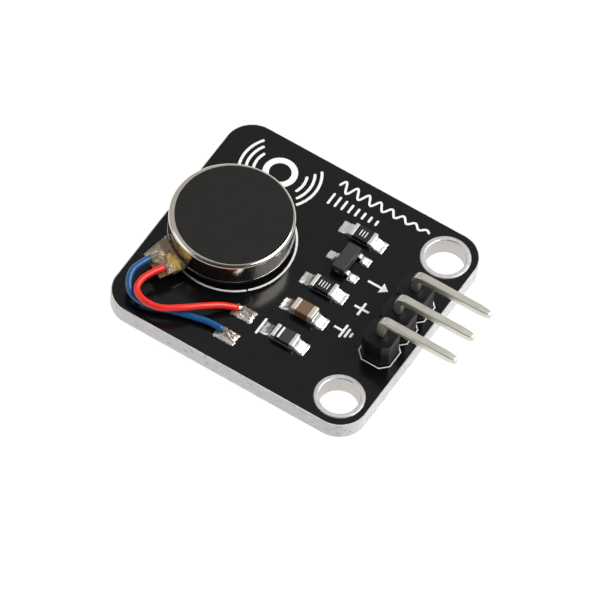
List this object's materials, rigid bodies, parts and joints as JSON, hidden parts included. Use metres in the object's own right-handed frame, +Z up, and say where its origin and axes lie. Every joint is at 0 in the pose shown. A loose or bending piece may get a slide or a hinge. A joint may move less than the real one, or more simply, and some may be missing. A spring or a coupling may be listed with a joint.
{
  "type": "vibration coin motor",
  "caption": "Coin vibration motor taped to a small black driver board, wired to it, with an angled pin header and screw holes.",
  "frame": {"origin": "centre of the board's underside", "axes": "+X from the motor to the header pins, +Y along the row of pins, +Z up out of the board's top face"},
  "size_m": [0.0275, 0.021, 0.0076],
  "materials": {
    "circuit_board": "glossy black solder mask on glass-epoxy board, pale bare edge",
    "hole_plating": "solder-plated rims",
    "header_housing": "satin black moulding",
    "header_pin": "tin-plated square pins",
    "solder": "bright solder",
    "motor_steel": "polished stainless steel",
    "base_steel": "plain steel",
    "foam": "black closed-cell foam tape",
    "film": "glossy black film",
    "flex": "amber flexible circuit",
    "tape": "clear amber tape",
    "copper": "enamelled copper windings",
    "magnet": "nickel-plated magnet",
    "tungsten": "sintered tungsten alloy",
    "brass": "bare brass",
    "natural_plastic": "natural moulded plastic",
    "rotor_laminate": "green laminate",
    "red_insulation": "red wire insulation",
    "blue_insulation": "blue wire insulation",
    "tinned_wire": "tinned copper strands",
    "resistor_body": "black glazed ceramic",
    "capacitor_body": "brown ceramic",
    "chip_moulding": "black epoxy moulding",
    "chip_tin": "tinned terminals"
  },
  "bodies": {
    "board": {"circuit_board": "circuit_board", "hole_plating_1": "hole_plating", "hole_plating_2": "hole_plating", "header_housing": "header_housing", "header_pin_1": "header_pin", "header_pin_2": "header_pin", "header_pin_3": "header_pin", "header_solder_1": "solder", "header_solder_2": "solder", "header_solder_3": "solder", "motor_foam_pad": "foam", "motor_base_plate": "base_steel", "motor_flex_circuit": "flex", "motor_ring_magnet": "magnet", "motor_brush_1": "brass", "motor_brush_2": "brass", "motor_shaft": "base_steel", "motor_case": "motor_steel", "motor_top_film": "film", "tail_tape": "tape", "thrust_washer_lower": "natural_plastic", "thrust_washer_upper": "natural_plastic", "red_wire_insulation": "red_insulation", "blue_wire_insulation": "blue_insulation", "red_wire_core": "tinned_wire", "blue_wire_core": "tinned_wire", "red_pad_solder": "solder", "red_tail_solder": "solder", "blue_pad_solder": "solder", "blue_tail_solder": "solder", "resistor_1_body": "resistor_body", "resistor_2_body": "resistor_body", "capacitor_body": "capacitor_body", "diode_body": "chip_moulding", "transistor_body": "chip_moulding", "resistor_1_cap_1": "chip_tin", "resistor_1_cap_2": "chip_tin", "resistor_2_cap_1": "chip_tin", "resistor_2_cap_2": "chip_tin", "capacitor_cap_1": "chip_tin", "capacitor_cap_2": "chip_tin", "diode_cap_1": "chip_tin", "diode_cap_2": "chip_tin", "transistor_lead_1": "chip_tin", "transistor_lead_2": "chip_tin", "transistor_lead_3": "chip_tin"},
    "rotor": {"rotor_board": "rotor_laminate", "rotor_bushing": "brass", "rotor_coil_1": "copper", "rotor_coil_2": "copper", "rotor_weight": "tungsten", "rotor_frame": "natural_plastic"}
  },
  "joints": [
    {"name": "rotor_spin", "type": "hinge", "parent": "board", "child": "rotor", "pos_m": [-0.006, -0.00007, 0.0039], "axis": [0, 0, 1], "continuous": true}
  ]
}
